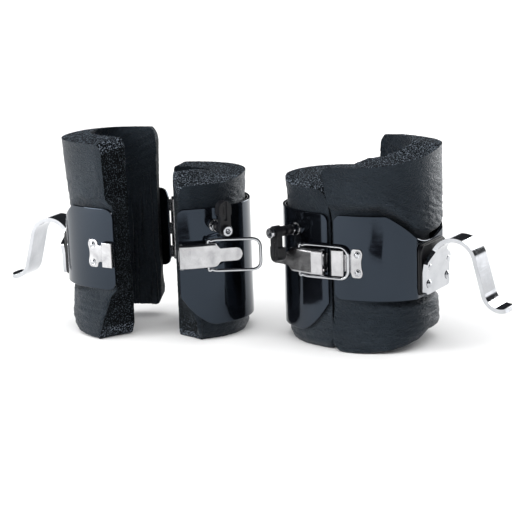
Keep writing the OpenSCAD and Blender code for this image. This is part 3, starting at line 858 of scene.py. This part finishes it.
def lock_arm():
    """Flat arm with a round hub and a wider, thicker foot with a groove in its face."""
    counts = (92, 26, 2)
    hub_r, waist, foot_top, foot_z = 6.2, 5.2, -13.5, -21
    top, low = hub_r, foot_z - hub_r

    def half_width(z):
        if z > 0:
            return sqrt(max(0.02, hub_r ** 2 - z * z))
        if z > foot_top - 1:
            return mix(max(waist, sqrt(max(0, hub_r ** 2 - z * z))), hub_r, smooth(foot_top - z))
        if z > foot_z:
            return hub_r
        return sqrt(max(0.02, hub_r ** 2 - (z - foot_z) ** 2))

    def point(i, j, k):
        turn = pi * i / counts[0]
        z = mix(top, low, (1 - cos(turn)) / 2)
        y = half_width(z) * (2 * j / counts[1] - 1)
        groove = 1.3 * smooth((1.6 - abs(y)) / 0.6) * smooth((-9 - z) / 1.2)
        outer = 27.5 - groove
        inner = 21.1 - 3 * smooth((foot_top - z) / 1.2)
        return (mix(outer, inner, k / counts[2]), y, z)

    return block(point, counts)


# ---- hinge ----
def leaf_frame(side):
    middle = Matrix.Translation((side * 5.5, HALF_W + 0.2, HINGE_Z))
    return middle @ Matrix.Rotation(radians(-side * 6), 4, "Z")


def hinge_rivets(side):
    outward = Matrix.Rotation(radians(90), 4, "Z")
    heads = [moved(rivet(3.4, 1.5), Matrix.Translation((side * 16, 2, z)) @ outward) for z in (-20, 0, 20)]
    return moved(joined(heads), leaf_frame(side))


def hinge_pin():
    profile = [(-32.5, 2.2), (-32.2, 3.2), (-31.4, 3.5), (-31, 3.5), (-31, 2.5), (31, 2.5), (31, 3.5),
               (31.4, 3.5), (32.2, 3.2), (32.5, 2.2)]
    upright = Matrix.Translation((*HINGE, HINGE_Z)) @ Matrix.Rotation(radians(90), 4, "Y")
    return moved(turned(profile, 40), upright)


def latch_rivets():
    outward = Matrix.Rotation(radians(-90), 4, "Z")
    spots = [(-16, -HALF_W - 1, LATCH_Z + z) for z in (-3.6, 3.6)]
    return joined([moved(rivet(2.4, 1), Matrix.Translation(spot) @ outward) for spot in spots])


def keep_cad(node, bevel):
    """Carried-over CAD node: its edges are rounded and it gets the steel."""
    piece = frame["nodes"][node]
    piece.data.materials.clear()
    piece.data.materials.append(STEEL)
    rounding = piece.modifiers.new("rounding", "BEVEL")
    rounding.width = bevel * MM
    rounding.segments = 2
    rounding.limit_method = "ANGLE"
    rounding.angle_limit = radians(50)


# ---- the two boots ----
def build_boot(side):
    is_open = side == "left"
    heel_at = place_half(side, LEVER_PIN, Vector(joint(side + "_lever_pivot")["pos_m"]))
    front_at = place_half(side, (ARCH_X, 0), Vector(seat(side)["pos_m"]))
    heel, front = side + "_heel_half", side + "_front_half"
    lever, loop, arm = side + "_lever", side + "_bail_loop", side + "_safety_arm"

    def add(part, mesh, at, body, look, bevel=0, segments=3, flat=40):
        node = f"{side}_{part}"
        return add_piece(node + "_look", mesh, at, body, [node], look, bevel, segments, flat)

    if is_open:
        front_pad = front_foam(seed=5, height=192, rise=0, flare=(0, 4), recess=11, lean=0)
        heel_pad = heel_foam(seed=45, recess=17, swell=0.6, lean=0)
    else:
        front_pad = front_foam(seed=1, height=174, rise=14, flare=(5, 5), recess=0, lean=9)
        heel_pad = heel_foam(seed=41, recess=0, swell=0, lean=9)
    # The pads' tops and bottoms take the painted-light copy of the cut foam, their parting faces the painted-shade
    # copy.
    pads = [add("front_foam", front_pad, front_at, front, [SKIN, CUT_PAINTED_LIT, PARTING_PAINTED_SHADE], 0.7, 2),
            add("heel_foam", heel_pad, heel_at, heel, [SKIN, CUT_PAINTED_LIT, PARTING_PAINTED_SHADE], 0.7, 2)]
    add("front_shell", front_shell(), front_at, front, [GLOSS], 0.9)
    add("heel_shell", heel_shell(), heel_at, heel, [GLOSS], 0.9)
    add("hook", hook(), front_at, front, [CHROME], 0.9)
    add("hook_rivets", hook_rivets(), front_at, front, [CHROME])
    add("hook_backing_plate", backing_plates(), front_at, front, [PLASTIC], 0.4, 2)
    add("catch", catch(), front_at, front, [STEEL], 0.35, 2)
    add("catch_rivets", catch_rivets(), front_at, front, [CHROME])
    add("hinge_front_rivets", hinge_rivets(1), front_at, front, [CHROME])
    add("hinge_rear_rivets", hinge_rivets(-1), heel_at, heel, [CHROME])
    add("hinge_pin", hinge_pin(), front_at, front, [CHROME])
    add("latch_rivets", latch_rivets(), heel_at, heel, [CHROME])
    add("latch_pin", latch_pin(), heel_at, heel, [CHROME])
    add("latch_lever", joined([lever_channel(), lever_tongue()]), heel_at, lever, [STEEL], 0.4, 2)
    add("bail", bail(180 if is_open else 0), heel_at, loop, [CHROME])
    lock_at = heel_at @ lock_frame()
    add("lock_screw", lock_screw(), lock_at, heel, [CHROME])
    add("lock_washer", lock_washer(), lock_at, heel, [STEEL], 0.3, 2)
    add("lock_nut", lock_nut(), lock_at, heel, [CHROME], 0.25, 2)
    add("lock_sleeve", lock_sleeve(), lock_at, heel, [PLASTIC])
    arm_turn = Matrix.Rotation(pi if is_open else 0, 4, "X")
    add("lock_arm", lock_arm(), lock_at @ arm_turn, arm, [PLASTIC], 0.7)
    for part in ("hinge_front_leaf", "hinge_rear_leaf", "latch_base"):
        keep_cad(f"{side}_{part}", 0.35)


build_boot("right")
build_boot("left")


# ---- floor, light and camera ----
def add_floor():
    size = 24
    bpy.ops.mesh.primitive_plane_add(size=size, location=(0, 4, -0.0003))
    floor = bpy.context.object
    floor.name = "floor"
    floor.data.materials.append(pale_floor())


def add_softbox(name, place, aim, width, height, watts):
    lamp = bpy.data.lights.new(name, "AREA")
    lamp.shape = "RECTANGLE"
    lamp.size = width
    lamp.size_y = height
    lamp.energy = watts
    box = bpy.data.objects.new(name, lamp)
    box.location = place
    box.rotation_euler = (Vector(aim) - Vector(place)).to_track_quat("-Z", "Y").to_euler()
    bpy.context.scene.collection.objects.link(box)


def add_flag(name, corners):
    """Black card that only gloss and chrome mirror."""
    card = bpy.data.meshes.new(name)
    card.from_pydata(corners, [], [(0, 1, 2, 3)])
    card.materials.append(PLASTIC)
    flag = bpy.data.objects.new(name, card)
    flag.visible_camera = False
    flag.visible_diffuse = False
    flag.visible_shadow = False
    bpy.context.scene.collection.objects.link(flag)


def add_light():
    """Even overhead light that keeps the floor white, and softboxes and black cards for the gloss and chrome
    to mirror: one card beside the left boot, one flat on the floor in front of it."""
    sun = bpy.data.lights.new("overhead", "SUN")
    sun.energy = 4.1
    sun.angle = radians(110)
    overhead = bpy.data.objects.new("overhead", sun)
    overhead.rotation_euler = (radians(12), radians(-6), 0)
    overhead.visible_glossy = False
    bpy.context.scene.collection.objects.link(overhead)
    centre = (0, 0, 0.09)
    add_softbox("right_softbox", (1.1, 1.05, 0.42), centre, 0.7, 0.9, 14)
    add_softbox("left_softbox", (-1.5, -0.35, 0.42), centre, 0.6, 0.8, 21)
    left, near, far, height = -0.1, -0.138, -0.03, 0.3
    add_flag("side_flag", [(left, near, 0), (left, far, 0), (left, far, height), (left, near, height)])
    right, near, far, lift = 0.05, -0.6, -0.46, 0.001
    add_flag("floor_flag", [(left, far, lift), (right, far, lift), (right, near, lift), (left, near, lift)])


def add_world():
    """Dark studio above a pale horizon."""
    world = bpy.data.worlds.new("studio")
    world.use_nodes = True
    nodes, links = world.node_tree.nodes, world.node_tree.links
    place = nodes.new("ShaderNodeTexCoord")
    split = nodes.new("ShaderNodeSeparateXYZ")
    fade = nodes.new("ShaderNodeValToRGB")
    low, high = fade.color_ramp.elements
    low.position, low.color = 0.07, (1.8, 1.81, 1.84, 1)
    high.position, high.color = 0.13, (0.03, 0.032, 0.036, 1)
    links.new(place.outputs["Generated"], split.inputs[0])
    links.new(split.outputs["Z"], fade.inputs["Fac"])
    links.new(fade.outputs["Color"], nodes["Background"].inputs["Color"])
    nodes["Background"].inputs["Strength"].default_value = 1.0
    bpy.context.scene.world = world


def add_camera():
    """Straight along +Y, looking 13 degrees down, with the small roll of the photograph."""
    pitch, roll = radians(13), radians(-2)
    distance = 1.6
    aim = Vector((0.008, -0.0233, 0.082))
    lens = bpy.data.cameras.new("camera")
    lens.sensor_width = 36
    lens.angle = radians(17.33)
    camera = bpy.data.objects.new("camera", lens)
    look = Matrix.Rotation(radians(90) - pitch, 4, "X")
    camera.matrix_world = (Matrix.Translation(aim) @ look @ Matrix.Rotation(roll, 4, "Z")
                           @ Matrix.Translation((0, 0, distance)))
    bpy.context.scene.collection.objects.link(camera)
    bpy.context.scene.camera = camera


add_floor()
add_light()
add_world()
add_camera()
bpy.context.scene.view_settings.view_transform = "Standard"
